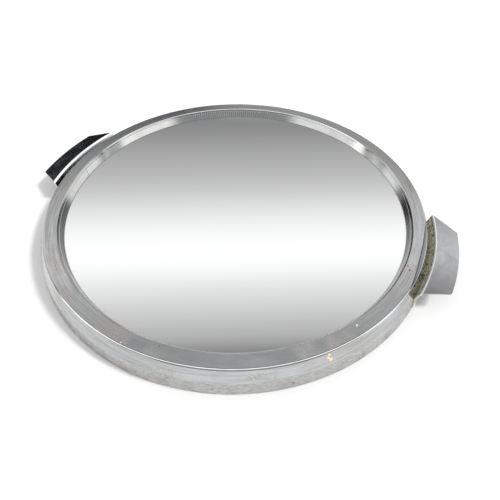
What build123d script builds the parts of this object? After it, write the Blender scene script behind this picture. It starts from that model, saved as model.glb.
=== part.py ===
from build123d import *
from math import asin, cos, degrees, radians, sin, tan
import os

os.makedirs("parts", exist_ok=True)

# A round mirrored tray: a chromed rim and a chromed edge band round a plywood base, a
# silvered glass floor, and two bracket handles. Millimetres, +Z up, the table at z = 0,
# the centre of the tray on the Z axis and the handles on +X and -X.

# Stack under the glass, from the table up
felt_thickness = 1.0
board_thickness = 9.0
card_thickness = 0.5
glass_thickness = 3.0

# Glass and its wall
glass_radius = 156.0
glass_edge_break = 0.4     # chamfer on the glass edges
glass_lap = 2.4            # how far the retaining ring's foot covers the glass edge
packing_thickness = 0.6    # black strip round the glass edge
wall_lean = 11.5           # degrees from upright, leaning out towards the top
ring_thickness = 0.5
ring_height = 6.6          # retaining ring, up from the glass
seam_angle = 187.0         # where the ring's two ends meet
seam_gap = 0.4
strap_thickness = 0.3      # lies behind the seam
strap_length = 14.0
strap_height = 4.4

# Rim shell, one spun sheet
shell_thickness = 0.8
rim_rise = 8.5             # top of the rim above the glass
rim_flat = 11.9            # width of the flat top, corner to corner
crest_radius = 1.2         # inner edge of the flat top
shoulder_radius = 1.5      # outer edge of the flat top
facet_lean = 26.3          # degrees from upright, the outer slope
leg_foot_gap = 0.5         # bottom of the shell's inner leg above the glass
core_relief = 0.35         # chamfer on the core under the shoulder, in shoulder radii

# Edge band round the board
band_thickness = 1.0
band_lean = 9.0            # degrees from upright, wider at the table
band_rise = 1.7            # top of the band above the board
band_foot = 0.4            # bottom of the band above the table
joint_gap = 0.15           # between the shell's lower edge and the band

# Handles, bent sheet
handle_thickness = 1.2
handle_length = 93.0       # across the bend, tip to tip
grip_reach = 19.8          # from the bend out to the grip's edge
grip_length = 69.5         # across the grip's outer edge
grip_drop = 3.4            # the outer edge hangs this much below the bend
flange_flare = 2.1         # how far the flange leans out between the band and the bend
bend_below_rim = 1.4       # top of the bend below the top of the rim
flange_foot = 1.5          # bottom of the flange above the table
bend_radius = 1.8
kink_radius = 3.0
grip_corner_radius = 2.5
grip_edge_radius = 0.35

# Fasteners
brad_places = 20           # equal spaces round the band; the handles hide some of them
brad_radius = 0.6
brad_length = 12.0
brad_head_radius = 1.4
brad_head_height = 0.7
brad_level = 0.4           # share of the band's height
handle_screw_count = 4
handle_screw_radius = 1.5
handle_screw_length = 14.0
handle_screw_head_radius = 2.6
handle_screw_head_height = 1.7
handle_screw_end = 9.0     # from the end of the flange to the last screw
board_screw_count = 8
board_screw_radius = 1.75
board_screw_head_radius = 3.4
board_screw_head_height = 2.0
board_screw_bite = 7.0     # how far it goes into the core
pin_count = 8
pin_radius = 0.55
pin_head_radius = 1.2
pin_head_height = 0.5
pin_length = 8.0
slot_width = 0.8
slot_depth = 0.7
tip_share = 2.2            # length of a point, in shank radii

# Clearances
fit = 0.15                 # between formed sheet and turned wood
strap_fit = 0.05
hole_fit = 0.1             # radial, where a nail or screw passes through sheet
drill_length = 12.0        # of the tools that cut those holes, centred on the sheet
felt_margin = 2.5
end_allowance = 1.0        # degrees of sheet past each end of a handle, before it is cut to shape

# Levels worked out from the stack
board_bottom = felt_thickness
board_top = board_bottom + board_thickness
glass_bottom = board_top + card_thickness
glass_top = glass_bottom + glass_thickness
rim_top = glass_top + rim_rise
band_top = board_top + band_rise
flange_kink = band_top
bend_top = rim_top - bend_below_rim


def across(thickness, lean):
    """Horizontal width of a sheet that leans from upright."""
    return thickness / cos(radians(lean))


def ring_face(z):
    """Inner face of the retaining ring."""
    return glass_radius - glass_lap + (z - glass_top) * tan(radians(wall_lean))


def leg_face(z):
    """Inner face of the shell's inner leg, behind the ring and its strap."""
    behind = ring_thickness + strap_thickness + 2 * strap_fit
    return ring_face(z) + across(behind, wall_lean)


crest = leg_face(rim_top)
shoulder = crest + rim_flat
crease = shoulder + (rim_top - band_top) * tan(radians(facet_lean))


def facet_face(z):
    """Outer face of the shell's slope."""
    return shoulder + (rim_top - z) * tan(radians(facet_lean))


def band_face(z):
    """Outer face of the edge band."""
    return crease + (band_top - z) * tan(radians(band_lean))


def board_edge(z):
    return band_face(z) - across(band_thickness, band_lean) - fit


bend_corner = band_face(flange_kink) + strap_fit + flange_flare
grip_edge = bend_corner + grip_reach
handle_half = degrees(asin(handle_length / 2 / bend_corner))
grip_half = degrees(asin(grip_length / 2 / grip_edge))
brad_height = band_foot + brad_level * (band_top - band_foot)
screw_height = (flange_foot + flange_kink) / 2


def turned(*corners):
    """A solid of revolution from the (radius, height) corners of its section."""
    return revolve(Plane.XZ * make_face(Polyline(*corners, close=True)), Axis.Z)


def bent_sheet(corners, radii, thickness):
    """Section of a bent sheet: its visible side follows the corners, its back is on the right."""
    visible = FilletPolyline(*corners, radius=radii)
    return Plane.XZ * make_face(offset(visible, thickness, side=Side.RIGHT))


def wedge(middle, half, reach, height):
    """A slice of a cylinder, to cut an arc or a seam from a ring."""
    section = Plane.XZ * Pos(reach / 2, height / 2) * Rectangle(reach, height)
    return Rot(0, 0, middle - half) * revolve(section, Axis.Z, 2 * half)


def domed_nail(radius, length, head_radius, head_height):
    """Nail or screw with a domed head: the head rests at z = 0 and the point is at -length."""
    ball = (head_radius ** 2 + head_height ** 2) / (2 * head_height)
    halfway = asin(head_radius / ball) / 2
    dome_middle = (ball * sin(halfway), head_height - ball * (1 - cos(halfway)))
    dome = ThreePointArc((0, head_height), dome_middle, (head_radius, 0))
    shoulder_of_point = radius * tip_share - length
    rest = Polyline(
        (head_radius, 0), (radius, 0), (radius, shoulder_of_point), (0, -length), (0, head_height)
    )
    return revolve(Plane.XZ * make_face([dome, rest]), Axis.Z)


def flat_nail(radius, length, head_radius, head_height):
    """Countersunk nail or screw: the top of its head is at z = 0."""
    shoulder_of_point = radius * tip_share - length
    return turned(
        (0, 0), (head_radius, 0), (radius, -head_height), (radius, shoulder_of_point), (0, -length)
    )


def slotted(screw, head_radius, top):
    slot = Pos(0, 0, top) * Box(2 * head_radius + slot_width, slot_width, 2 * slot_depth)
    return screw - slot


def facing_out(radius, height, rise):
    """Place whose +Z points out from the tray's axis and up by rise degrees."""
    out = (cos(radians(rise)), 0, sin(radians(rise)))
    return Plane(origin=(radius, 0, height), x_dir=(0, 1, 0), z_dir=out).location


def around(piece, angles):
    return [Rot(0, 0, angle) * piece for angle in angles]


def cut(body, tools):
    for tool in tools:
        body = body - tool
    return body


def apart(angle, middle):
    """Smallest angle between two directions."""
    return abs((angle - middle + 180) % 360 - 180)


# Where each fastener goes
handle_middles = {"right": 0, "left": 180}
brad_room = handle_half + degrees(2 * brad_head_radius / crease)
brad_angles = [
    place * 360 / brad_places
    for place in range(brad_places)
    if all(apart(place * 360 / brad_places, middle) > brad_room for middle in handle_middles.values())
]
screw_span = handle_half - degrees(handle_screw_end / bend_corner)
screw_offsets = [
    screw_span * (2 * place / (handle_screw_count - 1) - 1) for place in range(handle_screw_count)
]
screw_angles = {
    side: [middle + offset_angle for offset_angle in screw_offsets]
    for side, middle in handle_middles.items()
}
board_screw_angles = [(place + 0.5) * 360 / board_screw_count for place in range(board_screw_count)]
pin_angles = [(place + 0.25) * 360 / pin_count for place in range(pin_count)]
core_middle = (leg_face(board_top) + facet_face(band_top)) / 2
brad_place = facing_out(band_face(brad_height), brad_height, band_lean)
screw_seat = band_face(screw_height) + strap_fit + across(handle_thickness, band_lean)
screw_place = facing_out(screw_seat, screw_height, band_lean)


def make_brads():
    brad = domed_nail(brad_radius, brad_length, brad_head_radius, brad_head_height)
    return around(brad_place * brad, brad_angles)


def make_handle_screws(side):
    screw = domed_nail(
        handle_screw_radius, handle_screw_length, handle_screw_head_radius, handle_screw_head_height
    )
    screw = slotted(screw, handle_screw_head_radius, handle_screw_head_height)
    return around(screw_place * screw, screw_angles[side])


def make_board_screws():
    length = board_thickness + board_screw_bite
    screw = flat_nail(board_screw_radius, length, board_screw_head_radius, board_screw_head_height)
    screw = slotted(screw, board_screw_head_radius, 0)
    upward = Pos(core_middle, 0, board_bottom) * Rot(180, 0, 0) * screw
    return around(upward, board_screw_angles)


def make_pins():
    height = (glass_top + leg_foot_gap + rim_top) / 2
    pin = flat_nail(pin_radius, pin_length, pin_head_radius, pin_head_height)
    inward = Plane(
        origin=(leg_face(height), 0, height),
        x_dir=(0, 1, 0),
        z_dir=(-cos(radians(wall_lean)), 0, sin(radians(wall_lean))),
    ).location
    return around(inward * pin, pin_angles)


def make_felt():
    radius = board_edge(board_bottom) - felt_margin
    return Pos(0, 0, felt_thickness / 2) * Cylinder(radius, felt_thickness)


def make_board():
    """Plywood disc, its edge turned to the slope of the band."""
    body = turned(
        (0, board_bottom),
        (board_edge(board_bottom), board_bottom),
        (board_edge(board_top), board_top),
        (0, board_top),
    )
    fasteners = make_brads() + make_board_screws()
    for side in handle_middles:
        fasteners += make_handle_screws(side)
    return cut(body, fasteners)


def make_core():
    """Wooden hoop that fills the rim shell, rebated over the edge of the glass."""
    rebate = glass_radius + packing_thickness + 2 * fit
    lip = glass_top + leg_foot_gap / 2
    top = rim_top - shell_thickness - fit
    leg_back = across(shell_thickness + fit, wall_lean)
    facet_back = across(shell_thickness + fit, facet_lean)
    outside = board_edge(band_top)
    run_out = rim_top - (outside + facet_back - shoulder) / tan(radians(facet_lean))
    relief = shoulder_radius * core_relief
    body = turned(
        (rebate, board_top),
        (rebate, lip),
        (leg_face(lip) + leg_back, lip),
        (leg_face(top) + leg_back, top),
        (facet_face(top) - facet_back - 2 * relief, top),
        (facet_face(top - relief) - facet_back - relief / 2, top - relief),
        (outside, run_out),
        (outside, board_top),
    )
    return cut(body, make_board_screws() + make_pins())


def make_shell():
    """Chromed rim: inner leg, flat top and outer slope in one sheet."""
    foot = glass_top + leg_foot_gap
    lower_edge = band_top + joint_gap
    below = lower_edge - shell_thickness
    corners = [
        (leg_face(foot), foot),
        (crest, rim_top),
        (shoulder, rim_top),
        (facet_face(below), below),
    ]
    section = bent_sheet(corners, [crest_radius, shoulder_radius], shell_thickness)
    body = revolve(section, Axis.Z)
    body = split(body, Plane.XY.offset(lower_edge), keep=Keep.TOP)
    return cut(body, make_pins())


def make_band():
    """Chromed strip round the board, its ends meeting under the left handle."""
    inner = across(band_thickness, band_lean)
    body = turned(
        (band_face(band_foot), band_foot),
        (band_face(band_top), band_top),
        (band_face(band_top) - inner, band_top),
        (band_face(band_foot) - inner, band_foot),
    )
    seam_half = degrees(seam_gap / 2 / crease)
    brad_drill = brad_place * Cylinder(brad_radius + hole_fit, drill_length)
    screw_drill = screw_place * Cylinder(handle_screw_radius + hole_fit, drill_length)
    holes = around(brad_drill, brad_angles)
    holes += around(screw_drill, screw_angles["left"] + screw_angles["right"])
    seam = wedge(handle_middles["left"], seam_half, 2 * crease, rim_top)
    return cut(body, holes + [seam])


def make_retaining_ring():
    """Split strip that holds the glass down and lines the wall."""
    top = glass_top + ring_height
    inner = across(ring_thickness, wall_lean)
    body = turned(
        (ring_face(glass_top), glass_top),
        (ring_face(glass_top) + inner, glass_top),
        (ring_face(top) + inner, top),
        (ring_face(top), top),
    )
    seam_half = degrees(seam_gap / 2 / ring_face(glass_top))
    return body - wedge(seam_angle, seam_half, 2 * crease, 2 * rim_top)


def make_joint_strap():
    """Plate that bridges the ring's seam from behind."""
    near = across(ring_thickness + strap_fit, wall_lean)
    far = near + across(strap_thickness, wall_lean)
    low = glass_top + (ring_height - strap_height) / 2
    high = low + strap_height
    body = turned(
        (ring_face(low) + near, low),
        (ring_face(low) + far, low),
        (ring_face(high) + far, high),
        (ring_face(high) + near, high),
    )
    half = degrees(strap_length / 2 / ring_face(high))
    return body & wedge(seam_angle, half, 2 * crease, 2 * rim_top)


def make_glass():
    middle = (glass_bottom + glass_top) / 2
    disc = Pos(0, 0, middle) * Cylinder(glass_radius, glass_thickness)
    return chamfer(disc.edges(), glass_edge_break)


def make_packing():
    outer = glass_radius + packing_thickness + fit
    inner = glass_radius + fit / 2
    return turned((inner, glass_bottom), (outer, glass_bottom), (outer, glass_top), (inner, glass_top))


def make_card():
    return Pos(0, 0, board_top + card_thickness / 2) * Cylinder(glass_radius, card_thickness)


def handle_outline():
    """Plan of the right handle: straight slanted ends, and an outer edge round the tray's centre."""
    def spot(radius, angle):
        return (radius * cos(radians(angle)), radius * sin(radians(angle)))

    near_tip = spot(grip_edge, -grip_half)
    far_tip = spot(grip_edge, grip_half)
    outer_arc = ThreePointArc(near_tip, (grip_edge, 0), far_tip)
    sides = Polyline(
        far_tip, spot(bend_corner, handle_half), (0, 0), spot(bend_corner, -handle_half), near_tip
    )
    plan = make_face([outer_arc, sides])
    tips = plan.vertices().sort_by_distance((grip_edge, 0))[:2]
    return fillet(tips, grip_corner_radius)


def make_handle(side):
    """Bracket handle: a flange against the band, and a grip that bends out at the top."""
    foot_face = band_face(flange_foot) + strap_fit
    kink_face = band_face(flange_kink) + strap_fit
    corners = [
        (foot_face, flange_foot),
        (kink_face, flange_kink),
        (bend_corner, bend_top),
        (grip_edge, bend_top - grip_drop),
    ]
    section = bent_sheet(corners, [kink_radius, bend_radius], handle_thickness)
    sweep = 2 * (handle_half + end_allowance)
    body = Rot(0, 0, -sweep / 2) * revolve(section, Axis.Z, sweep)
    body = body & extrude(handle_outline(), 2 * rim_top)
    past_bend = bend_corner + grip_reach / 3
    rims = [edge for edge in body.edges() if edge.center().X > past_bend]
    body = fillet(rims, grip_edge_radius)
    drill = screw_place * Cylinder(handle_screw_radius + hole_fit, drill_length)
    body = cut(body, around(drill, screw_angles["right"]))
    return Rot(0, 0, handle_middles[side]) * body


pieces = {
    "base_felt": make_felt(),
    "base_board": make_board(),
    "board_screws": make_board_screws(),
    "rim_core": make_core(),
    "rim_shell": make_shell(),
    "shell_pins": make_pins(),
    "edge_band": make_band(),
    "band_brads": make_brads(),
    "mirror_card": make_card(),
    "mirror_glass": make_glass(),
    "mirror_packing": make_packing(),
    "retaining_ring": make_retaining_ring(),
    "ring_joint_strap": make_joint_strap(),
}
for side in handle_middles:
    pieces[f"handle_{side}"] = make_handle(side)
    pieces[f"handle_{side}_screws"] = make_handle_screws(side)

for name, piece in pieces.items():
    items = piece if isinstance(piece, list) else [piece]
    solids = [solid for item in items for solid in item.solids()]
    export_step(Compound(children=solids), f"parts/{name}.step")

print(f"crest {crest:.2f}, shoulder {shoulder:.2f}, crease {crease:.2f}, rim top {rim_top:.2f}")
print(f"glass top {glass_top:.2f}, bend {bend_corner:.2f}, grip edge {grip_edge:.2f}")
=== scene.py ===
from math import asin, cos, pi, radians, sin, sqrt, tan
import bmesh
import bpy
from mathutils import Matrix, Quaternion, Vector


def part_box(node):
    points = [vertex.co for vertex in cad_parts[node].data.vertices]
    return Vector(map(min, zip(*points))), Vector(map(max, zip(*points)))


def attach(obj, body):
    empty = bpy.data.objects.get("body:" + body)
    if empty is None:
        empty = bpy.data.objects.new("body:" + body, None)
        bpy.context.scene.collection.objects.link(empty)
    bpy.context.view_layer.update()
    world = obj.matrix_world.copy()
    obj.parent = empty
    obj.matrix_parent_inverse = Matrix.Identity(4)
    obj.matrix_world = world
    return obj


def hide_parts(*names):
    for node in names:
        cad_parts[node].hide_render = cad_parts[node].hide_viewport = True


# Round mirrored tray: a chromed rim round a mirror floor, a worn chromed band round the
# base and two bracket handles. Metres, the handles along X, the table at z = 0.

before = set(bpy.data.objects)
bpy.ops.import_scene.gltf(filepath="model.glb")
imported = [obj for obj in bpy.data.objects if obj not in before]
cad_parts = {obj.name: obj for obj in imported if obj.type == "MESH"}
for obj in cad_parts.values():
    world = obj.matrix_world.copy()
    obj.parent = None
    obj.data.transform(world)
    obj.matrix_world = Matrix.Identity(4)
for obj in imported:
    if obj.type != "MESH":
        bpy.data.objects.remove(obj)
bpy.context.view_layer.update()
mm = 0.001
body = "root"
print("frame loaded:", len(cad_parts), "nodes")


# Small helpers for editing

def deselectAll():
    bpy.ops.object.select_all(action="DESELECT")


def enterEdit(piece, mode="EDGE"):
    deselectAll()
    piece.select_set(True)
    bpy.context.view_layer.objects.active = piece
    bpy.ops.object.mode_set(mode="EDIT")
    bpy.ops.mesh.select_mode(type=mode)
    bpy.ops.mesh.select_all(action="DESELECT")


def leaveEdit():
    bpy.ops.object.mode_set(mode="OBJECT")


def pickEdges(piece, wanted):
    bpy.ops.mesh.select_all(action="DESELECT")
    mesh = bmesh.from_edit_mesh(piece.data)
    for edge in mesh.edges:
        if wanted(edge):
            edge.select_set(True)
    mesh.select_flush_mode()
    bmesh.update_edit_mesh(piece.data)


def pickFaces(piece, wanted):
    bpy.ops.mesh.select_all(action="DESELECT")
    mesh = bmesh.from_edit_mesh(piece.data)
    for face in mesh.faces:
        if wanted(face):
            face.select_set(True)
    mesh.select_flush_mode()
    bmesh.update_edit_mesh(piece.data)


def onRing(edge, spot):
    near = 0.02 * mm
    return all(
        abs(point.co.xy.length - spot[0]) < near and abs(point.co.z - spot[1]) < near
        for point in edge.verts
    )


def bendOffset(before, corner, after, bend):
    # how far back from a corner a bend of this radius starts
    first = Vector(corner) - Vector(before)
    second = Vector(after) - Vector(corner)
    return bend * tan(first.angle(second) / 2)


def addRing(name, corners, around):
    # a circle drawn out from corner to corner of the section, each (radius, height)
    deselectAll()
    radius, height = corners[0]
    bpy.ops.mesh.primitive_circle_add(vertices=around, radius=radius, location=(0, 0, height))
    piece = bpy.context.object
    piece.name = name
    piece.data.name = name
    bpy.ops.object.transform_apply(location=True, rotation=False, scale=False)
    enterEdit(piece)
    bpy.ops.mesh.select_all(action="SELECT")
    for here, there in zip(corners, corners[1:]):
        bpy.ops.mesh.extrude_region_move()
        ratio = there[0] / here[0]
        bpy.ops.transform.resize(value=(ratio, ratio, 1), center_override=(0, 0, 0))
        bpy.ops.transform.translate(value=(0, 0, there[1] - here[1]))
    return piece


def roundCorner(piece, corners, place, bend, segments):
    corner = corners[place]
    before = corners[place - 1]
    after = corners[(place + 1) % len(corners)]
    pickEdges(piece, lambda edge: onRing(edge, corner))
    width = bendOffset(before, corner, after, bend)
    bpy.ops.mesh.bevel(offset=width, segments=segments, profile=0.5, affect="EDGES")


def turnPiece(name, corners, bends, around=288, segments=8):
    # a closed ring; bends holds a radius for each corner
    piece = addRing(name, corners, around)
    ends = (corners[0], corners[-1])
    pickEdges(piece, lambda edge: any(onRing(edge, spot) for spot in ends))
    bpy.ops.mesh.bridge_edge_loops()
    for place, bend in enumerate(bends):
        if bend:
            roundCorner(piece, corners, place, bend, segments if bend > 0.5 * mm else 3)
    bpy.ops.mesh.select_all(action="SELECT")
    bpy.ops.mesh.normals_make_consistent(inside=False)
    leaveEdit()
    return piece


def applyModifier(piece, kind, **values):
    deselectAll()
    piece.select_set(True)
    bpy.context.view_layer.objects.active = piece
    modifier = piece.modifiers.new(kind.title(), kind)
    for key, value in values.items():
        setattr(modifier, key, value)
    bpy.ops.object.modifier_apply(modifier=modifier.name)


def cutSeam(piece, angle, gap, size):
    # a saw cut through one side of a ring
    deselectAll()
    radius, height = size
    bpy.ops.mesh.primitive_cube_add(size=1, location=(0, 0, height))
    saw = bpy.context.object
    saw.matrix_world = (
        Matrix.Rotation(angle, 4, "Z")
        @ Matrix.Translation((radius, 0, height))
        @ Matrix.Diagonal((0.03, gap, 0.05, 1))
    )
    bpy.ops.object.transform_apply(location=True, rotation=True, scale=True)
    applyModifier(piece, "BOOLEAN", object=saw, operation="DIFFERENCE", solver="EXACT")
    bpy.data.objects.remove(saw)


def smoothOff(piece, angle=40):
    deselectAll()
    piece.select_set(True)
    bpy.context.view_layer.objects.active = piece
    bpy.ops.object.shade_smooth_by_angle(angle=radians(angle))
    applyModifier(piece, "WEIGHTED_NORMAL", weight=50, keep_sharp=True)


def finishPiece(piece, material, slot, *nodes):
    piece.data.materials.clear()
    piece.data.materials.append(material)
    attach(piece, body)
    for name in nodes:
        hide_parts(name)


# Small helpers for node trees

def addNode(tree, kind, inputs=None, **settings):
    node = tree.nodes.new(kind)
    for key, value in settings.items():
        setattr(node, key, value)
    for key, value in (inputs or {}).items():
        if isinstance(value, bpy.types.NodeSocket):
            tree.links.new(value, node.inputs[key])
        else:
            node.inputs[key].default_value = value
    return node


def sumUp(tree, operation, *values):
    inputs = dict(enumerate(values))
    return addNode(tree, "ShaderNodeMath", inputs, operation=operation).outputs[0]


def fade(tree, value, low, high, lowValue=0.0, highValue=1.0):
    inputs = {"Value": value, "From Min": low, "From Max": high}
    inputs.update({"To Min": lowValue, "To Max": highValue})
    node = addNode(tree, "ShaderNodeMapRange", inputs, interpolation_type="SMOOTHSTEP")
    return node.outputs["Result"]


def blendColour(tree, share, first, second, how="MIX"):
    node = addNode(tree, "ShaderNodeMix", data_type="RGBA", blend_type=how)
    for place, value in ((0, share), (6, first), (7, second)):
        if isinstance(value, bpy.types.NodeSocket):
            tree.links.new(value, node.inputs[place])
        elif place:
            node.inputs[place].default_value = (*value, 1)
        else:
            node.inputs[place].default_value = value
    return node.outputs[2]


def noise(tree, vector, scale, detail=3.0, rough=0.5, spread=0.0):
    inputs = {"Vector": vector, "Scale": scale, "Detail": detail}
    inputs.update({"Roughness": rough, "Distortion": spread})
    return addNode(tree, "ShaderNodeTexNoise", inputs).outputs["Fac"]


def newMaterial(name):
    material = bpy.data.materials.new(name)
    material.use_nodes = True
    tree = material.node_tree
    shader = tree.nodes["Principled BSDF"]
    place = addNode(tree, "ShaderNodeTexCoord").outputs["Object"]
    return material, tree, shader, place


def rampRound(tree, azimuth, stops):
    # azimuth runs from -0.5 to 0.5 turns
    share = sumUp(tree, "ADD", azimuth, 0.5)
    ramp = addNode(tree, "ShaderNodeValToRGB", {"Fac": share})
    ramp.color_ramp.interpolation = "EASE"
    elements = ramp.color_ramp.elements
    for place, (angle, colour) in enumerate(stops):
        at = angle / 360 + 0.5
        if place == 0:
            elements[0].position = at
            element = elements[0]
        elif place == len(stops) - 1:
            elements[len(elements) - 1].position = at
            element = elements[len(elements) - 1]
        else:
            element = elements.new(at)
        element.color = (*colour, 1)
    return ramp.outputs[0]


def turnedField(tree, place, length, width):
    # coordinates that run round the tray: streaks of this length and width, in metres
    split = addNode(tree, "ShaderNodeSeparateXYZ", {"Vector": place})
    x, y, z = split.outputs
    flat = addNode(tree, "ShaderNodeCombineXYZ", {"X": x, "Y": y})
    radius = addNode(
        tree, "ShaderNodeVectorMath", {0: flat.outputs[0]}, operation="LENGTH"
    ).outputs["Value"]
    way = addNode(tree, "ShaderNodeVectorMath", {0: flat.outputs[0]}, operation="NORMALIZE")
    turn = addNode(tree, "ShaderNodeSeparateXYZ", {"Vector": way.outputs[0]})
    streakRadius, climb = 0.165, 1.31       # climb keeps the streaks apart on upright walls
    reach = streakRadius / length
    across = sumUp(tree, "ADD", radius, sumUp(tree, "MULTIPLY", z, climb))
    field = addNode(tree, "ShaderNodeCombineXYZ", {
        "X": sumUp(tree, "MULTIPLY", turn.outputs[0], reach),
        "Y": sumUp(tree, "MULTIPLY", turn.outputs[1], reach),
        "Z": sumUp(tree, "MULTIPLY", across, 1 / width),
    })
    azimuth = sumUp(tree, "ARCTAN2", y, x)
    return field.outputs[0], radius, azimuth, z, x


def specks(tree, place, cell, size, share):
    # small spots scattered over a surface, 1 inside a spot
    cells = addNode(
        tree, "ShaderNodeTexVoronoi", {"Vector": place, "Scale": 1 / cell}, feature="F1"
    )
    chosen = addNode(tree, "ShaderNodeSeparateColor", {"Color": cells.outputs["Color"]})
    kept = sumUp(tree, "LESS_THAN", chosen.outputs[0], share)
    own = sumUp(tree, "MULTIPLY", chosen.outputs[1], size / cell)
    inside = sumUp(tree, "LESS_THAN", cells.outputs["Distance"], own)
    return sumUp(tree, "MULTIPLY", kept, inside)


def chrome(name, look):
    material, tree, shader, place = newMaterial(name)
    field, radius, azimuth, z, x = turnedField(
        tree, place, look["streakLength"], look["streakWidth"]
    )
    streaks = noise(tree, field, 1.0, 4.0, 0.62)
    wiped = noise(tree, place, look["blotch"], 5.0, 0.6, 0.6)
    grain = noise(tree, place, look["grainScale"], 3.0, 0.6)
    pits = specks(tree, place, look["pitCell"], look["pitSize"], look["pitShare"])
    dull = fade(tree, wiped, 0.42, 0.68)
    tint = blendColour(tree, dull, look["colour"], look["dullColour"])
    lines = fade(tree, streaks, 0.35, 0.7, 1.0, look["streakShade"])
    tint = blendColour(tree, 1.0, tint, addNode(
        tree, "ShaderNodeCombineColor", {0: lines, 1: lines, 2: lines}
    ).outputs[0], "MULTIPLY")
    # colour scaled round the circle from the table: partly patchy wear, partly painted reflection
    # of the room's light and dark
    if "tarnishAndPaintedReflection" in look:
        level = rampRound(tree, sumUp(tree, "DIVIDE", azimuth, 2 * pi), look["tarnishAndPaintedReflection"])
        tint = blendColour(tree, 1.0, tint, level, "MULTIPLY")
    if "chatterAndPaintedReflection" in look:
        # upright ripples left by the roller, strongest on one side; the bump is real, the light
        # and dark stripes put into the colour are painted reflection
        chatterAndPaintedReflection = look["chatterAndPaintedReflection"]
        ripple = sumUp(tree, "SINE", sumUp(tree, "MULTIPLY", azimuth, chatterAndPaintedReflection["count"]))
        off = sumUp(tree, "ABSOLUTE", sumUp(tree, "SUBTRACT", azimuth, chatterAndPaintedReflection["azimuth"]))
        ripple = sumUp(tree, "MULTIPLY", ripple, fade(
            tree, off, chatterAndPaintedReflection["half"] * 0.6, chatterAndPaintedReflection["half"], 1.0, 0.0
        ))
        band = sumUp(tree, "MULTIPLY_ADD", ripple, chatterAndPaintedReflection["shade"], 1.0 - chatterAndPaintedReflection["shade"])
        tint = blendColour(tree, 1.0, tint, addNode(
            tree, "ShaderNodeCombineColor", {0: band, 1: band, 2: band}
        ).outputs[0], "MULTIPLY")
    if "lighterPatch" in look:
        # painted highlight: the top bend's colour lightened almost to white, standing for the line
        # of light along it
        low, high, highlightColour = look["lighterPatch"]
        bend = sumUp(tree, "MULTIPLY", fade(tree, radius, low, low + 0.4 * mm),
                     fade(tree, radius, high - 0.4 * mm, high, 1.0, 0.0))
        tint = blendColour(tree, bend, tint, highlightColour)
    if "wear" in look:
        # a lens of thin plating beside one handle, with a dark edge
        wear = look["wear"]
        off = sumUp(tree, "SUBTRACT", azimuth, wear["azimuth"])
        off = sumUp(tree, "DIVIDE", off, wear["half"])
        dip = sumUp(tree, "MULTIPLY_ADD", sumUp(tree, "MULTIPLY", off, off), wear["reach"],
                    wear["edge"] - wear["reach"])
        ragged = sumUp(tree, "MULTIPLY", noise(tree, place, 500.0, 4.0, 0.7), 0.8 * mm)
        depth = sumUp(tree, "SUBTRACT", radius, sumUp(tree, "ADD", dip, ragged))
        flat = fade(tree, z, wear["above"] - 0.2 * mm, wear["above"])
        worn = sumUp(tree, "MULTIPLY", fade(tree, depth, 0.0, 0.4 * mm), flat)
        line = sumUp(tree, "MULTIPLY", fade(tree, depth, -0.2 * mm, 0.1 * mm),
                     fade(tree, depth, 0.3 * mm, 1.1 * mm, 1.0, 0.0))
        line = sumUp(tree, "MULTIPLY", line, flat)
        tint = blendColour(tree, worn, tint, wear["colour"])
        tint = blendColour(tree, line, tint, wear["lineColour"])
    if "grime" in look:
        grime = look["grime"]
        edge = fade(tree, radius, grime["from"], grime["to"])
        if "side" in grime:
            edge = sumUp(tree, "MULTIPLY", edge, fade(tree, x, *grime["side"]))
        patchy = fade(tree, noise(tree, place, grime["scale"], 6.0, 0.7), 0.3, 0.62)
        edge = sumUp(tree, "MULTIPLY", edge, sumUp(tree, "MULTIPLY", patchy, grime["amount"]))
        tint = blendColour(tree, edge, tint, grime["colour"])
    tint = blendColour(tree, pits, tint, look["pitColour"])
    chipped = None
    for spot, size, colour in look.get("chips", []):
        # plating chipped off down to the metal below, with a ragged edge
        away = addNode(
            tree, "ShaderNodeVectorMath", {0: place, 1: spot}, operation="DISTANCE"
        ).outputs["Value"]
        ragged = sumUp(tree, "MULTIPLY_ADD", noise(tree, place, 380.0), size, away)
        chip = fade(tree, ragged, size, size * 1.15, 1.0, 0.0)
        tint = blendColour(tree, chip, tint, colour)
        chipped = sumUp(tree, "MAXIMUM", chipped, chip) if chipped else chip
    tree.links.new(tint, shader.inputs["Base Color"])
    rough = sumUp(tree, "ADD", look["roughness"], sumUp(tree, "MULTIPLY", dull, look["dullRough"]))
    rough = sumUp(tree, "ADD", rough, sumUp(
        tree, "MULTIPLY", fade(tree, streaks, 0.3, 0.75), look["streakRough"]
    ))
    if "satin" in look:
        # brushed between these radii, polished outside them
        start, end, width = look["satin"]
        brushed = sumUp(
            tree, "MULTIPLY", fade(tree, radius, start, start + width),
            fade(tree, radius, end - width, end, 1.0, 0.0),
        )
        rough = sumUp(tree, "MULTIPLY", rough, fade(tree, brushed, 0.0, 1.0, look["polish"], 1.0))
    if "stipple" in look:
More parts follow.
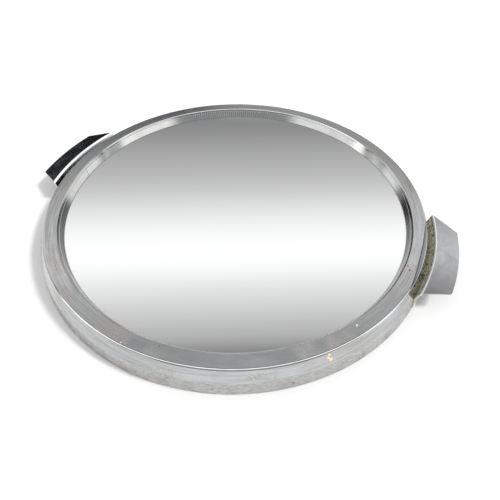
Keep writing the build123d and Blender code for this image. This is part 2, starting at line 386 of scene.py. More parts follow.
        # fine corrosion on the slope, in patches
        stipple = look["stipple"]
        patch = fade(tree, noise(tree, place, stipple["patch"], 4.0, 0.6), 0.4, 0.58)
        sloping = fade(tree, radius, stipple["from"], stipple["from"] + mm)
        patch = sumUp(tree, "MULTIPLY", patch, sloping)
        rust = specks(tree, place, stipple["cell"], stipple["size"], 0.6)
        rust = sumUp(tree, "MULTIPLY", rust, patch)
        rough = sumUp(tree, "MULTIPLY_ADD", rust, 0.4, rough)
    shader.inputs["Metallic"].default_value = 1.0
    if chipped:
        tree.links.new(sumUp(tree, "MULTIPLY_ADD", chipped, -0.9, 1.0), shader.inputs["Metallic"])
        rough = sumUp(tree, "ADD", rough, sumUp(tree, "MULTIPLY", chipped, 0.4))
    if "grime" in look:
        rough = sumUp(tree, "ADD", rough, sumUp(tree, "MULTIPLY", edge, 0.35))
        # the painted highlight on the bend is also half dulled here, so its pale colour shows lit
        worn = sumUp(tree, "MAXIMUM", edge, sumUp(tree, "MULTIPLY", bend, 0.5))
        bare = sumUp(tree, "MULTIPLY_ADD", worn, -look["grime"]["dull"], 1.0)
        tree.links.new(bare, shader.inputs["Metallic"])
    rough = sumUp(tree, "ADD", rough, sumUp(tree, "MULTIPLY", pits, 0.4))
    tree.links.new(rough, shader.inputs["Roughness"])
    height = sumUp(tree, "MULTIPLY_ADD", streaks, look["streakDeep"], sumUp(
        tree, "MULTIPLY", grain, look["grainDeep"]
    ))
    height = sumUp(tree, "SUBTRACT", height, sumUp(tree, "MULTIPLY", pits, look["pitDeep"]))
    if "chatterAndPaintedReflection" in look:
        height = sumUp(tree, "MULTIPLY_ADD", ripple, chatterAndPaintedReflection["deep"], height)
    bump = addNode(tree, "ShaderNodeBump", {"Height": height, "Strength": 1.0, "Distance": 1.0})
    tree.links.new(bump.outputs[0], shader.inputs["Normal"])
    return material


# Rim: one spun sheet, inner leg, flat top, outer slope

glassLow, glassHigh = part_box("mirror_glass")
rimLow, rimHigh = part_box("rim_shell")
rim = {
    "sheet": 0.8 * mm,
    "wallLean": radians(11.5),
    "slopeLean": radians(26.3),
    "flatWidth": 11.9 * mm,
    "crestBend": 1.2 * mm,
    "shoulderBend": 1.5 * mm,
    "legGap": 0.5 * mm,
    "edgeRound": 0.15 * mm,
}
rimLook = {
    "colour": (0.58, 0.588, 0.59), "dullColour": (0.56, 0.54, 0.53),
    "roughness": 0.17, "dullRough": 0.08, "blotch": 26.0,
    "satin": (156.8 * mm, 167.2 * mm, 0.6 * mm), "polish": 0.22,
    # tint round the rim: partly patchy wear, partly painted reflection of the room
    "tarnishAndPaintedReflection": [
        (-180, (0.97, 0.97, 0.976)), (-160, (0.985, 0.979, 0.979)), (-141, (0.916, 0.91, 0.91)),
        (-126, (0.985, 0.976, 0.976)), (-110, (0.898, 0.907, 0.91)), (-92, (0.892, 0.904, 0.91)),
        (-66, (0.952, 0.967, 0.973)), (-35, (0.94, 0.952, 0.958)), (-21, (0.88, 0.883, 0.889)),
        (-5, (0.979, 0.976, 0.976)), (20, (0.979, 0.973, 0.973)), (45, (1.03, 1.027, 1.027)),
        (65, (1.042, 1.039, 1.039)), (85, (1.015, 1.015, 1.012)), (105, (0.955, 0.958, 0.958)),
        (130, (0.94, 0.943, 0.943)), (150, (0.88, 0.883, 0.892)), (163, (0.88, 0.883, 0.895)),
        (180, (0.97, 0.97, 0.976)),
    ],
    "wear": {
        "azimuth": radians(-2.2), "half": radians(15.5), "reach": 4.0 * mm, "edge": 168.2 * mm,
        "above": 21.9 * mm, "colour": (0.27, 0.29, 0.31), "lineColour": (0.1, 0.1, 0.1),
    },
    "stipple": {"patch": 45.0, "from": 168.5 * mm, "cell": 0.0011, "size": 0.0007},
    "chips": [
        ((0.11880, -0.12018, 0.0203), 1.7 * mm, (0.85, 0.7, 0.48)),
        ((0.11883, -0.12147, 0.0184), 1.4 * mm, (0.9, 0.78, 0.58)),
        ((0.12100, -0.12071, 0.0164), 2.3 * mm, (0.82, 0.66, 0.45)),
        ((0.12310, -0.11942, 0.0152), 1.2 * mm, (0.6, 0.48, 0.34)),
        ((0.07685, -0.15233, 0.0172), 1.0 * mm, (0.62, 0.5, 0.33)),
        ((0.07810, -0.15281, 0.0150), 1.3 * mm, (0.66, 0.54, 0.38)),
        ((0.15661, -0.02377, 0.0220), 1.3 * mm, (0.12, 0.07, 0.06)),
        ((0.15859, -0.02776, 0.0220), 1.2 * mm, (0.15, 0.08, 0.06)),
        ((0.13094, -0.09213, 0.0220), 1.5 * mm, (0.72, 0.71, 0.68)),
        ((-0.01227, -0.16585, 0.0220), 0.6 * mm, (0.85, 0.85, 0.83)),
    ],
    "streakLength": 0.03, "streakWidth": 0.0012, "streakShade": 0.76,
    "streakRough": 0.08, "streakDeep": 0.000002, "grainScale": 1500.0, "grainDeep": 0.000001,
    "pitCell": 0.0062, "pitSize": 0.0011, "pitShare": 0.03,
    "pitColour": (0.16, 0.11, 0.08), "pitDeep": 0.00003,
}


def makeRim():
    top, foot = rimHigh.z, rimLow.z
    sheet = rim["sheet"]
    legFoot = glassHigh.z + rim["legGap"]
    slopeFoot = rimHigh.x
    shoulder = slopeFoot - (top - foot) * tan(rim["slopeLean"])
    crest = shoulder - rim["flatWidth"]
    legThick = sheet / cos(rim["wallLean"])
    slopeThick = sheet / cos(rim["slopeLean"])

    def leg(z):
        return crest - (top - z) * tan(rim["wallLean"])

    def slope(z):
        return shoulder + (top - z) * tan(rim["slopeLean"])

    corners = [
        (leg(legFoot), legFoot),
        (crest, top),
        (shoulder, top),
        (slopeFoot, foot),
        (slopeFoot - slopeThick, foot),
        (slope(top - sheet) - slopeThick, top - sheet),
        (leg(top - sheet) + legThick, top - sheet),
        (leg(legFoot) + legThick, legFoot),
    ]
    small = rim["edgeRound"]
    bends = [
        small, rim["crestBend"], rim["shoulderBend"], small,
        small, rim["shoulderBend"] - sheet, rim["crestBend"] - sheet, small,
    ]
    return turnPiece("rimShell", corners, bends, around=384)


rimShell = makeRim()
rimShell.visible_glossy = False     # the glass shows the room alone
smoothOff(rimShell)
finishPiece(rimShell, chrome("rimChrome", rimLook), "rim_chrome", "rim_shell")
print("rim shell made")


# Edge band: a worn strip nailed round the board

bandLow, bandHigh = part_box("edge_band")
band = {
    "thick": 1.0 * mm,
    "lean": radians(9),
    "edgeRound": 0.2 * mm,
    "seamAngle": pi,
    "seamGap": 0.4 * mm,
}
bandLook = {
    "colour": (0.54, 0.54, 0.53), "dullColour": (0.46, 0.455, 0.44),
    "roughness": 0.26, "dullRough": 0.14, "blotch": 60.0,
    "streakLength": 0.003, "streakWidth": 0.0016, "streakShade": 0.72,
    "streakRough": 0.12, "streakDeep": 0.00001, "grainScale": 900.0, "grainDeep": 0.00006,
    "pitCell": 0.0035, "pitSize": 0.0009, "pitShare": 0.1,
    "pitColour": (0.2, 0.17, 0.14), "pitDeep": 0.00004,
}


def makeBand():
    foot, top = bandLow.z, bandHigh.z
    outFoot = bandHigh.x
    outTop = outFoot - (top - foot) * tan(band["lean"])
    thick = band["thick"] / cos(band["lean"])
    corners = [(outFoot, foot), (outTop, top), (outTop - thick, top), (outFoot - thick, foot)]
    piece = turnPiece("edgeBand", corners, [band["edgeRound"]] * 4, around=384)
    cutSeam(piece, band["seamAngle"], band["seamGap"], (outTop, (foot + top) / 2))
    return piece


edgeBand = makeBand()
smoothOff(edgeBand)
finishPiece(edgeBand, chrome("bandChrome", bandLook), "band_chrome", "edge_band")
print("edge band made")


# Retaining ring: thin split strip that lines the wall

ringLow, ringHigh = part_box("retaining_ring")
ring = {
    "thick": 0.5 * mm,
    "edgeRound": 0.12 * mm,
    "seamAngle": radians(187),
    "seamGap": 0.4 * mm,
}
ringLook = {
    "colour": (0.78, 0.79, 0.79), "dullColour": (0.7, 0.69, 0.67),
    "roughness": 0.1, "dullRough": 0.05, "blotch": 40.0,
    "streakLength": 0.05, "streakWidth": 0.0009, "streakShade": 0.93,
    "streakRough": 0.05, "streakDeep": 0.000004, "grainScale": 1500.0, "grainDeep": 0.0000005,
    "pitCell": 0.006, "pitSize": 0.0008, "pitShare": 0.02,
    "pitColour": (0.2, 0.16, 0.12), "pitDeep": 0.00002,
    # the ripples' bump is real; shade paints light and dark stripes into the colour as their
    # reflection
    "chatterAndPaintedReflection": {
        "count": 400.0, "azimuth": radians(117), "half": radians(24),
        "deep": 0.00001, "shade": 0.2,
    },
    # tint round the ring: partly patchy wear, partly painted reflection of the room
    "tarnishAndPaintedReflection": [
        (-180, (1, 1, 1)), (-156, (1, 1, 1)), (-145, (0.865, 0.868, 0.871)),
        (-125, (0.886, 0.886, 0.886)), (-112, (0.94, 0.94, 0.94)), (-100, (1.024, 1.024, 1.024)),
        (-27, (1.024, 1.024, 1.024)), (-15, (0.955, 0.955, 0.955)), (-5, (0.88, 0.88, 0.88)),
        (5, (0.826, 0.826, 0.826)), (16, (0.826, 0.826, 0.829)), (24, (1, 1, 1)),
        (33, (1.03, 1.03, 1.03)), (45, (0.91, 0.916, 0.922)), (53, (1.015, 1.015, 1.015)),
        (180, (1, 1, 1)),
    ],
}


def makeRetainingRing():
    foot, top = ringLow.z, ringHigh.z
    thick = ring["thick"] / cos(rim["wallLean"])
    inTop = ringHigh.x - thick
    inFoot = inTop - (top - foot) * tan(rim["wallLean"])
    corners = [(inFoot, foot), (inTop, top), (inTop + thick, top), (inFoot + thick, foot)]
    piece = turnPiece("retainingRing", corners, [ring["edgeRound"]] * 4, around=384)
    cutSeam(piece, ring["seamAngle"], ring["seamGap"], (inTop, (foot + top) / 2))
    return piece


retainingRing = makeRetainingRing()
retainingRing.visible_glossy = False
smoothOff(retainingRing)
finishPiece(retainingRing, chrome("ringChrome", ringLook), "ring_chrome", "retaining_ring")
print("retaining ring made")


# Mirror: silvered glass disc

mirror = {
    "edgeBreak": 0.4 * mm,
    # painted shade: a dark line just inside the ring's foot, where the ring meets the glass
    "paintedEdgeShade": (152.7 * mm, 153.4 * mm, (0.42, 0.42, 0.42)),
    "silver": (0.9, 0.905, 0.905),
    "ageing": (0.6, 0.57, 0.5),
    "ageingStart": 7.0 * mm,        # in from the ring
}


def makeMirror():
    # a filled circle pushed up to a disc, its two edges ground off
    deselectAll()
    bpy.ops.mesh.primitive_circle_add(
        vertices=256, radius=glassHigh.x, fill_type="NGON", location=(0, 0, glassLow.z)
    )
    piece = bpy.context.object
    piece.name = piece.data.name = "mirrorGlass"
    bpy.ops.object.transform_apply(location=True, rotation=False, scale=False)
    enterEdit(piece, "FACE")
    bpy.ops.mesh.select_all(action="SELECT")
    bpy.ops.mesh.extrude_region_move()
    bpy.ops.transform.translate(value=(0, 0, glassHigh.z - glassLow.z))
    bpy.ops.mesh.select_mode(type="EDGE")
    for height in (glassLow.z, glassHigh.z):
        pickEdges(piece, lambda edge: onRing(edge, (glassHigh.x, height)))
        bpy.ops.mesh.bevel(offset=mirror["edgeBreak"], segments=1, affect="EDGES")
    bpy.ops.mesh.select_all(action="SELECT")
    bpy.ops.mesh.normals_make_consistent(inside=False)
    leaveEdit()
    return piece


def makeMirrorMaterial():
    material, tree, shader, place = newMaterial("mirrorSilver")
    field, radius, azimuth, z, x = turnedField(tree, place, 0.05, 0.003)
    rimSide = fade(tree, radius, -ringLow.x - mirror["ageingStart"], -ringLow.x)
    spotty = fade(tree, noise(tree, place, 260.0, 5.0, 0.65), 0.52, 0.72)
    aged = sumUp(tree, "MULTIPLY", rimSide, spotty)
    tint = blendColour(tree, aged, mirror["silver"], mirror["ageing"])
    # painted shade at the ring's foot, a dark line near the glass edge
    start, end, dark = mirror["paintedEdgeShade"]
    tint = blendColour(tree, fade(tree, radius, start, end), tint, dark)
    tree.links.new(tint, shader.inputs["Base Color"])
    film = fade(tree, noise(tree, place, 18.0, 4.0, 0.6, 0.8), 0.5, 0.8, 0.0, 0.012)
    hairs = fade(tree, noise(tree, place, 900.0, 2.0), 0.66, 0.8, 0.0, 0.02)
    rough = sumUp(
        tree, "ADD", sumUp(tree, "ADD", film, hairs), sumUp(tree, "MULTIPLY", aged, 0.15)
    )
    tree.links.new(rough, shader.inputs["Roughness"])
    shader.inputs["Metallic"].default_value = 1.0
    return material


mirrorGlass = makeMirror()
smoothOff(mirrorGlass, 30)
finishPiece(mirrorGlass, makeMirrorMaterial(), "mirror", "mirror_glass")
print("mirror made")


# Handles: bent sheet, a flange against the band and a grip bent outwards

handleLow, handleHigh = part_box("handle_right")
handle = {
    "sheet": 1.2 * mm,
    "kinkHeight": 11.7 * mm,
    "kinkRadius": 173.29 * mm,
    "bendRadius": 175.39 * mm,
    "bendHeight": 20.6 * mm,
    "gripHeight": 17.2 * mm,
    "kinkBend": 3.0 * mm,
    "topBend": 1.8 * mm,
    "gripLength": 69.5 * mm,
    "tipRound": 2.5 * mm,
    "edgeRound": 0.35 * mm,
}
handleLook = {
    "colour": (0.5, 0.505, 0.515), "dullColour": (0.4, 0.4, 0.405),
    "roughness": 0.13, "dullRough": 0.1, "blotch": 55.0,
    "streakLength": 0.02, "streakWidth": 0.0009, "streakShade": 0.95,
    "streakRough": 0.05, "streakDeep": 0.000003, "grainScale": 1200.0, "grainDeep": 0.000002,
    "pitCell": 0.0028, "pitSize": 0.0007, "pitShare": 0.06,
    "pitColour": (0.42, 0.41, 0.4), "pitDeep": 0.00002,
    "grime": {
        "from": 175.3 * mm, "to": 174.6 * mm, "side": (-0.05, 0.05), "scale": 420.0,
        "amount": 0.9, "colour": (1.0, 0.97, 0.66), "dull": 0.95,
    },
    # painted highlight along the top bend: radii and a near-white colour
    "lighterPatch": (174.8 * mm, 176.6 * mm, (0.95, 0.95, 0.94)),
    # tint round the right handle, darker on its near side: partly patchy wear, partly painted
    # shade and reflection
    "tarnishAndPaintedReflection": [
        (-180, (1, 1, 1)), (-30, (0.955, 0.955, 0.958)), (-10, (0.94, 0.94, 0.943)),
        (-4, (0.991, 0.991, 0.991)), (12, (1.024, 1.024, 1.024)), (180, (1, 1, 1)),
    ],
}


def cutAway(point, outward):
    bpy.ops.mesh.select_all(action="SELECT")
    bpy.ops.mesh.bisect(plane_co=point, plane_no=outward, clear_outer=True, threshold=1e-7)


def makeHandle():
    gripEdge = handleHigh.x
    kink = (handle["kinkRadius"], handle["kinkHeight"])
    bend = (handle["bendRadius"], handle["bendHeight"])
    grip = (gripEdge, handle["gripHeight"])
    footRadius = kink[0] + (kink[1] - handleLow.z) * tan(band["lean"])
    corners = [(footRadius, handleLow.z), kink, bend, grip]
    half = asin(handleHigh.y / bend[0])
    tipHalf = asin(handle["gripLength"] / 2 / gripEdge)

    # one degree steps round the tray, kept only near the handle
    piece = addRing("handleRight", corners, 360)
    pickFaces(piece, lambda face: face.calc_center_median().xy.angle_signed(Vector((1, 0))) ** 2
              > (half + radians(2)) ** 2)
    bpy.ops.mesh.delete(type="FACE")
    roundCorner(piece, corners, 1, handle["kinkBend"], 4)
    roundCorner(piece, corners, 2, handle["topBend"], 8)

    # radial ends to the flange, straight slanted ends to the grip, rounded tips
    tipRound = handle["tipRound"]
    for side in (-1, 1):
        cutAway((0, 0, 0), (-sin(half), side * cos(half), 0))
        start = Vector((bend[0] * cos(half), side * bend[0] * sin(half), 0))
        end = Vector((gripEdge * cos(tipHalf), side * gripEdge * sin(tipHalf), 0))
        along = (end - start).normalized()
        outward = Vector((-along.y, along.x, 0)) * side
        cutAway(start, outward)
        inset = start - outward * tipRound
        reach = gripEdge - tipRound
        ahead = inset.dot(along)
        run = -ahead + sqrt(ahead ** 2 - inset.length_squared + reach ** 2)
        centre = inset + along * run
        first = centre.normalized()
        for step in range(1, 6):
            way = first.slerp(outward, step / 6)
            cutAway(centre + way * tipRound, way)
    bpy.ops.mesh.select_all(action="SELECT")
    bpy.ops.mesh.remove_doubles(threshold=0.002 * mm)
    bpy.ops.mesh.normals_make_consistent(inside=False)
    mesh = bmesh.from_edit_mesh(piece.data)
    outer = max(mesh.faces, key=lambda face: face.calc_center_median().xy.length)
    if outer.normal.z < 0:
        bpy.ops.mesh.flip_normals()
    leaveEdit()
    applyModifier(piece, "SOLIDIFY", thickness=handle["sheet"], offset=-1, use_even_offset=True)
    applyModifier(
        piece, "BEVEL", width=handle["edgeRound"], segments=3,
        limit_method="ANGLE", angle_limit=radians(50),
    )
    return piece


def turnedCopy(piece, name, angle):
    deselectAll()
    piece.select_set(True)
    bpy.context.view_layer.objects.active = piece
    bpy.ops.object.duplicate(linked=False)
    copy = bpy.context.object
    copy.name = copy.data.name = name
    copy.rotation_euler = (0, 0, angle)
    bpy.ops.object.transform_apply(location=True, rotation=True, scale=True)
    return copy


handleChrome = chrome("handleChrome", handleLook)
handleRight = makeHandle()
smoothOff(handleRight, 35)
handleLeft = turnedCopy(handleRight, "handleLeft", pi)
finishPiece(handleRight, handleChrome, "handle_chrome", "handle_right")
finishPiece(handleLeft, handleChrome, "handle_chrome", "handle_left")
print("handles made")


# Nails and screws that show

brad = {
    "count": 20, "height": 4.92 * mm, "head": 1.4 * mm, "rise": 0.7 * mm,
    "shank": 0.6 * mm, "length": 12 * mm, "hidden": (0, 10),
}
handleScrew = {
    "angles": (-12.43, -4.14, 4.14, 12.43), "turns": (20, 75, -30, 50),
    "height": 6.6 * mm, "head": 2.6 * mm, "rise": 1.7 * mm,
    "shank": 1.5 * mm, "length": 14 * mm, "slot": 0.8 * mm, "slotDeep": 0.7 * mm,
}
steelLook = {
    "colour": (0.5, 0.49, 0.47), "dullColour": (0.36, 0.33, 0.3),
    "roughness": 0.3, "dullRough": 0.15, "blotch": 300.0,
    "streakLength": 0.004, "streakWidth": 0.0003, "streakShade": 0.85,
    "streakRough": 0.1, "streakDeep": 0.00001, "grainScale": 2400.0, "grainDeep": 0.00001,
    "pitCell": 0.0012, "pitSize": 0.0005, "pitShare": 0.15,
    "pitColour": (0.22, 0.15, 0.1), "pitDeep": 0.00003,
}


def makeNail(name, sizes):
    # a cap of a ball, then its flat back inset and pushed down into a shank and a point
    head, rise = sizes["head"], sizes["rise"]
    ball = (head ** 2 + rise ** 2) / (2 * rise)
    deselectAll()
    bpy.ops.mesh.primitive_uv_sphere_add(
        segments=20, ring_count=24, radius=ball, location=(0, 0, rise - ball)
    )
    piece = bpy.context.object
    piece.name = piece.data.name = name
    bpy.ops.object.transform_apply(location=True, rotation=False, scale=False)
    enterEdit(piece, "FACE")
    bpy.ops.mesh.select_all(action="SELECT")
    bpy.ops.mesh.bisect(
        plane_co=(0, 0, 0), plane_no=(0, 0, 1), use_fill=True, clear_inner=True, threshold=1e-7
    )
    pickFaces(piece, lambda face: face.normal.z < -0.99)
    bpy.ops.mesh.inset(thickness=head - sizes["shank"])
    bpy.ops.mesh.extrude_region_move()
    bpy.ops.transform.translate(value=(0, 0, 2 * sizes["shank"] - sizes["length"]))
    bpy.ops.mesh.extrude_region_move()
    bpy.ops.transform.resize(value=(0.05, 0.05, 1), center_override=(0, 0, 0))
    bpy.ops.transform.translate(value=(0, 0, -2 * sizes["shank"]))
    bpy.ops.mesh.select_all(action="SELECT")
    bpy.ops.mesh.normals_make_consistent(inside=False)
    leaveEdit()
    return piece


def cutSlot(piece, sizes):
    deselectAll()
    bpy.ops.mesh.primitive_cube_add(size=1)
    tool = bpy.context.object
    tool.scale = (3 * sizes["head"], sizes["slot"], 2 * sizes["slotDeep"])
    tool.location = (0, 0, sizes["rise"])
    bpy.ops.object.transform_apply(location=True, rotation=True, scale=True)
    applyModifier(piece, "BOOLEAN", object=tool, operation="DIFFERENCE", solver="EXACT")
    bpy.data.objects.remove(tool)


def placeCopy(master, name, radius, height, lean, angle, turn):
    deselectAll()
    master.select_set(True)
    bpy.context.view_layer.objects.active = master
    bpy.ops.object.duplicate(linked=False)
    copy = bpy.context.object
    copy.name = copy.data.name = name
    copy.matrix_world = (
        Matrix.Rotation(angle, 4, "Z")
        @ Matrix.Translation((radius, 0, height))
        @ Matrix.Rotation(pi / 2 - lean, 4, "Y")
        @ Matrix.Rotation(turn, 4, "Z")
    )
    bpy.ops.object.transform_apply(location=True, rotation=True, scale=True)
    return copy


bradLook = dict(bandLook, streakLength=0.004, pitShare=0.2)
steel = chrome("platedSteel", steelLook)
wornChrome = chrome("wornNail", bradLook)
bandTop = bandHigh.x - (bandHigh.z - bandLow.z) * tan(band["lean"])


def bandFace(height):
    return bandTop + (bandHigh.z - height) * tan(band["lean"])


bradMaster = makeNail("bradMaster", brad)
smoothOff(bradMaster, 40)
for place in range(brad["count"]):
    if place not in brad["hidden"]:
        copy = placeCopy(
            bradMaster, f"bandBrad{place:02d}", bandFace(brad["height"]), brad["height"],
            band["lean"], 2 * pi * place / brad["count"], place * 1.7,
        )
        finishPiece(copy, wornChrome, "steel", "band_brads")
bpy.data.objects.remove(bradMaster)

screwMaster = makeNail("screwMaster", handleScrew)
cutSlot(screwMaster, handleScrew)
smoothOff(screwMaster, 35)
screwSeat = bandFace(handleScrew["height"]) + 0.05 * mm + handle["sheet"] / cos(band["lean"])
for side, middle in (("right", 0), ("left", 180)):
    for place, angle in enumerate(handleScrew["angles"]):
        copy = placeCopy(
            screwMaster, f"{side}Screw{place + 1}", screwSeat, handleScrew["height"],
            band["lean"], radians(middle + angle), radians(handleScrew["turns"][place]),
        )
        finishPiece(copy, steel, "steel", f"handle_{side}_screws")
bpy.data.objects.remove(screwMaster)
print("nails and screws made")


# Felt under the base

feltLow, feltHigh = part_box("base_felt")
felt = {
    "colour": (0.035, 0.1, 0.055),
    "worn": (0.09, 0.15, 0.1),
    "around": 180,
    "rings": 8,
    "edgeRound": 0.25 * mm,
    "sheen": 0.35,
}


def makeFelt():
    # a filled disc in rings, thick as the cloth, its cut edge softened
    deselectAll()
    radius = feltHigh.x
    bpy.ops.mesh.primitive_circle_add(vertices=felt["around"], radius=radius, fill_type="NGON")
    piece = bpy.context.object
    piece.name = piece.data.name = "baseFelt"
    bpy.ops.object.transform_apply(location=True, rotation=False, scale=False)
    enterEdit(piece, "FACE")
    bpy.ops.mesh.select_all(action="SELECT")
    for step in range(felt["rings"]):
        bpy.ops.mesh.inset(thickness=radius / (felt["rings"] + 1))
    bpy.ops.mesh.select_all(action="SELECT")
    bpy.ops.mesh.extrude_region_move()
    bpy.ops.transform.translate(value=(0, 0, feltHigh.z - feltLow.z))
    bpy.ops.mesh.select_mode(type="EDGE")
    for height in (feltLow.z, feltHigh.z):
        pickEdges(piece, lambda edge: onRing(edge, (radius, height)))
        bpy.ops.mesh.bevel(offset=felt["edgeRound"], segments=3, affect="EDGES")
    bpy.ops.mesh.select_all(action="SELECT")
    bpy.ops.mesh.normals_make_consistent(inside=False)
    leaveEdit()
    return piece


def makeFeltMaterial():
    material, tree, shader, place = newMaterial("baize")
    fibres = noise(tree, place, 1500.0, 5.0, 0.75, 1.2)
    lighterPatch = fade(tree, noise(tree, place, 22.0, 5.0, 0.6), 0.45, 0.7)
    mixed = sumUp(tree, "MULTIPLY", lighterPatch, fade(tree, fibres, 0.3, 0.7))
    tint = blendColour(tree, mixed, felt["colour"], felt["worn"])
    tree.links.new(tint, shader.inputs["Base Color"])
    bump = addNode(tree, "ShaderNodeBump", {"Height": fibres, "Distance": 0.0004})
    tree.links.new(bump.outputs[0], shader.inputs["Normal"])
    shader.inputs["Roughness"].default_value = 0.95
    shader.inputs["Sheen Weight"].default_value = felt["sheen"]
    return material


baseFelt = makeFelt()
smoothOff(baseFelt, 30)
finishPiece(baseFelt, makeFeltMaterial(), "felt", "base_felt")
print("felt made")


# Finishes for the parts inside

def woodMaterial(name, light, dark, ply=0.0):
    material, tree, shader, place = newMaterial(name)
    stretch = addNode(tree, "ShaderNodeMapping", {"Vector": place, "Scale": (6.0, 90.0, 140.0)})
    grain = noise(tree, stretch.outputs[0], 4.0, 6.0, 0.6, 0.4)
    pores = noise(tree, stretch.outputs[0], 22.0, 3.0, 0.7)
    shade = sumUp(tree, "MULTIPLY_ADD", pores, 0.35, sumUp(tree, "MULTIPLY", grain, 0.75))
    shade = fade(tree, shade, 0.35, 0.78)
    if ply:
        z = addNode(tree, "ShaderNodeSeparateXYZ", {"Vector": place}).outputs[2]
        layer = sumUp(tree, "PINGPONG", z, ply)
        dim = fade(tree, layer, ply * 0.42, ply * 0.58, 0.0, 0.45)
        shade = sumUp(tree, "ADD", shade, dim)
    tint = blendColour(tree, shade, light, dark)
    tree.links.new(tint, shader.inputs["Base Color"])
    rough = fade(tree, grain, 0.3, 0.7, 0.55, 0.75)
    tree.links.new(rough, shader.inputs["Roughness"])
    bump = addNode(tree, "ShaderNodeBump", {"Height": pores, "Distance": 0.0001})
    tree.links.new(bump.outputs[0], shader.inputs["Normal"])
    return material


def paperMaterial(name, first, second, scale):
    material, tree, shader, place = newMaterial(name)
    fibres = noise(tree, place, scale, 6.0, 0.7, 0.5)
    tint = blendColour(tree, fade(tree, fibres, 0.35, 0.65), first, second)
    tree.links.new(tint, shader.inputs["Base Color"])
    rough = fade(tree, fibres, 0.3, 0.7, 0.75, 0.92)
    tree.links.new(rough, shader.inputs["Roughness"])
    bump = addNode(tree, "ShaderNodeBump", {"Height": fibres, "Distance": 0.00005})
    tree.links.new(bump.outputs[0], shader.inputs["Normal"])
    return material


brassLook = dict(steelLook, colour=(0.72, 0.55, 0.27), dullColour=(0.5, 0.36, 0.18))
brass = chrome("bareBrass", brassLook)
inside = {
    "base_board": woodMaterial("plywood", (0.6, 0.43, 0.26), (0.36, 0.23, 0.12), ply=1.5 * mm),
    "rim_core": woodMaterial("beech", (0.66, 0.48, 0.3), (0.47, 0.31, 0.18)),
    "mirror_card": paperMaterial("greyCard", (0.34, 0.32, 0.28), (0.42, 0.39, 0.33), 700.0),
    "mirror_packing": paperMaterial(
        "blackPaper", (0.012, 0.012, 0.012), (0.03, 0.03, 0.03), 900.0
    ),
    "shell_pins": brass,
    "ring_joint_strap": brass,
    "board_screws": steel,
}
for name, material in inside.items():
    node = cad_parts[name]
    node.visible_glossy = False
    node.data.materials.clear()
    node.data.materials.append(material)
print("inside parts finished")


# Studio

studio = {
    "turn": radians(24.27),         # from the room's axes to the tray's
    "floorSize": 7.0,
    "floorDrop": 0.2 * mm,
    "floorShade": (0.86, 0.86, 0.86),
    "ambient": 0.8,
    "keyPower": 2.0,
    "keyAzimuth": -6.0,             # in the room's axes
    "keyRise": 49.0,
    "keySoftness": 10.0,
}


def makeFloor():
    deselectAll()
    below = (0, 0, -studio["floorDrop"])
    bpy.ops.mesh.primitive_plane_add(size=studio["floorSize"], location=below)
    floor = bpy.context.object
    floor.name = "studioFloor"
    material, tree, shader, place = newMaterial("palePaper")
    mottle = fade(tree, noise(tree, place, 3.0, 3.0), 0.3, 0.7)
    low = [channel * 0.99 for channel in studio["floorShade"]]
    tint = blendColour(tree, mottle, low, studio["floorShade"])
    tree.links.new(tint, shader.inputs["Base Color"])
    shader.inputs["Roughness"].default_value = 0.9
    shader.inputs["Specular IOR Level"].default_value = 0.0
    floor.data.materials.append(material)
    return floor


def roomDirection(tree, vector, extra=0.0):
    turned = addNode(tree, "ShaderNodeVectorRotate", {
        "Vector": vector, "Angle": -studio["turn"] - extra
    }, rotation_type="Z_AXIS")
    x, y, z = addNode(tree, "ShaderNodeSeparateXYZ", {"Vector": turned.outputs[0]}).outputs
    return x, y, z


# Soft panels and dark flags round the tray, in the room's axes and degrees:
# azimuth, half width, lowest and highest rise, soft edge, then the colour
panels = {
    "cameraWall": (-90, 62, -10, 46, 6, (0.38, 0.385, 0.4)),
    "leftWindow": (-154, 24, -5, 24, 6, (1.2, 1.2, 1.19)),
    "rightWindow": (-28, 20, -5, 24, 5, (1.5, 1.5, 1.48)),
    "rightDoor": (-1, 6, -5, 24, 3, (0.6, 0.61, 0.62)),
    "farRightWindow": (29, 18, -5, 25, 5, (1.3, 1.3, 1.3)),
    "farRightShade": (60, 10, -5, 27, 4, (0.14, 0.15, 0.15)),
    "farWall": (80, 12, -5, 29, 2, (0.6, 0.61, 0.6)),
    "darkFlag": (112, 17, -5, 29, 1.5, (0.016, 0.017, 0.02)),
    "leftGap": (146, 9, -5, 24, 4, (1.2, 1.2, 1.2)),
}


# Brightness of the room by angle above the far or the near side: the strip light, then the ceiling
strip = [
    (0, 0.3), (26, 0.22), (33, 0.36), (40.5, 0.7), (47.7, 1.1), (53, 0.915),
    (60.5, 0.495), (66, 0.36), (76, 2.0), (90, 2.6),
]


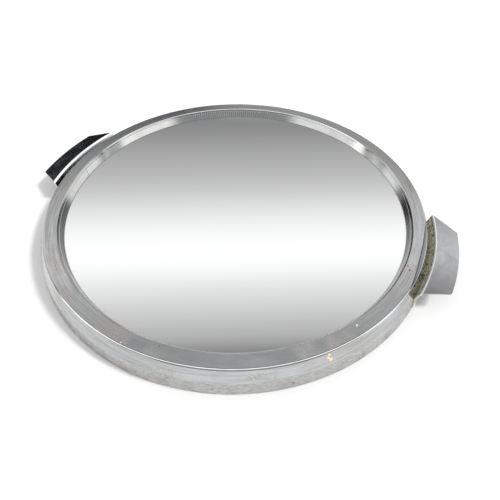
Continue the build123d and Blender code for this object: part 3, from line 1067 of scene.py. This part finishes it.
def makeRoom():
    world = bpy.data.worlds.new("studioRoom")
    bpy.context.scene.world = world
    world.use_nodes = True
    tree = world.node_tree
    background = tree.nodes["Background"]
    vector = addNode(tree, "ShaderNodeTexCoord").outputs["Generated"]
    x, y, z = roomDirection(tree, vector)
    rise = sumUp(tree, "MULTIPLY", sumUp(tree, "ARCSINE", z), 180 / pi)

    # a long strip light over the far side, seen in the mirror as a band from edge to edge
    tilt = sumUp(tree, "ARCTAN2", z, sumUp(tree, "ABSOLUTE", y))
    ramp = addNode(tree, "ShaderNodeValToRGB", {"Fac": sumUp(tree, "DIVIDE", tilt, pi / 2)})
    ramp.color_ramp.interpolation = "CARDINAL"
    brightest = strip[-1][1]
    elements = ramp.color_ramp.elements
    elements[0].color = (strip[0][1] / brightest,) * 3 + (1,)
    elements[1].color = (1, 1, 1, 1)
    for angle, level in strip[1:-1]:
        elements.new(angle / 90).color = (level / brightest,) * 3 + (1,)
    colour = blendColour(tree, 1.0, ramp.outputs[0], (brightest,) * 3, "MULTIPLY")

    for azimuth, half, low, high, soft, shade in panels.values():
        px, py = roomDirection(tree, vector, radians(azimuth))[:2]
        off = sumUp(tree, "ABSOLUTE", sumUp(tree, "ARCTAN2", py, px))
        off = sumUp(tree, "MULTIPLY", off, 180 / pi)
        share = fade(tree, off, half - soft, half + soft, 1.0, 0.0)
        above = fade(tree, rise, low - soft, low + soft)
        below = fade(tree, rise, high - soft, high + soft, 1.0, 0.0)
        share = sumUp(tree, "MULTIPLY", share, sumUp(tree, "MULTIPLY", above, below))
        colour = blendColour(tree, share, colour, shade)

    # polished metal and glass see the strip and panels, all else an even pale room
    glossy = addNode(tree, "ShaderNodeLightPath").outputs["Is Glossy Ray"]
    even = (studio["ambient"],) * 3
    tree.links.new(blendColour(tree, glossy, even, colour), background.inputs["Color"])
    return world


def makeKeyLight():
    deselectAll()
    bpy.ops.object.light_add(type="SUN", location=(0.6, 0.3, 1.2))
    key = bpy.context.object
    key.name = "keyLight"
    azimuth = radians(studio["keyAzimuth"]) + studio["turn"]
    rise = radians(studio["keyRise"])
    toLight = Vector((cos(rise) * cos(azimuth), cos(rise) * sin(azimuth), sin(rise)))
    key.rotation_euler = toLight.to_track_quat("Z", "Y").to_euler()
    key.data.energy = studio["keyPower"]
    key.data.angle = radians(studio["keySoftness"])
    key.visible_glossy = False
    return key


makeFloor()
makeRoom()
makeKeyLight()
print("studio made")


# Camera

shot = {
    "from": (0.11460, -0.25417, 0.26215),
    "towards": (-0.24461, 0.61688, -0.74808),
    "roll": radians(0.758),
    "lens": 28.609,
    "sensor": 36,
    "nearest": 0.01,
}


def makeCamera():
    deselectAll()
    bpy.ops.object.camera_add(location=shot["from"])
    camera = bpy.context.object
    look = Vector(shot["towards"]).to_track_quat("-Z", "Y")
    camera.rotation_euler = (look @ Quaternion((0, 0, 1), shot["roll"])).to_euler()
    camera.data.lens = shot["lens"]
    camera.data.sensor_width = shot["sensor"]
    camera.data.clip_start = shot["nearest"]
    bpy.context.scene.camera = camera
    return camera


makeCamera()
bpy.context.scene.view_settings.view_transform = "Standard"
print("camera made")
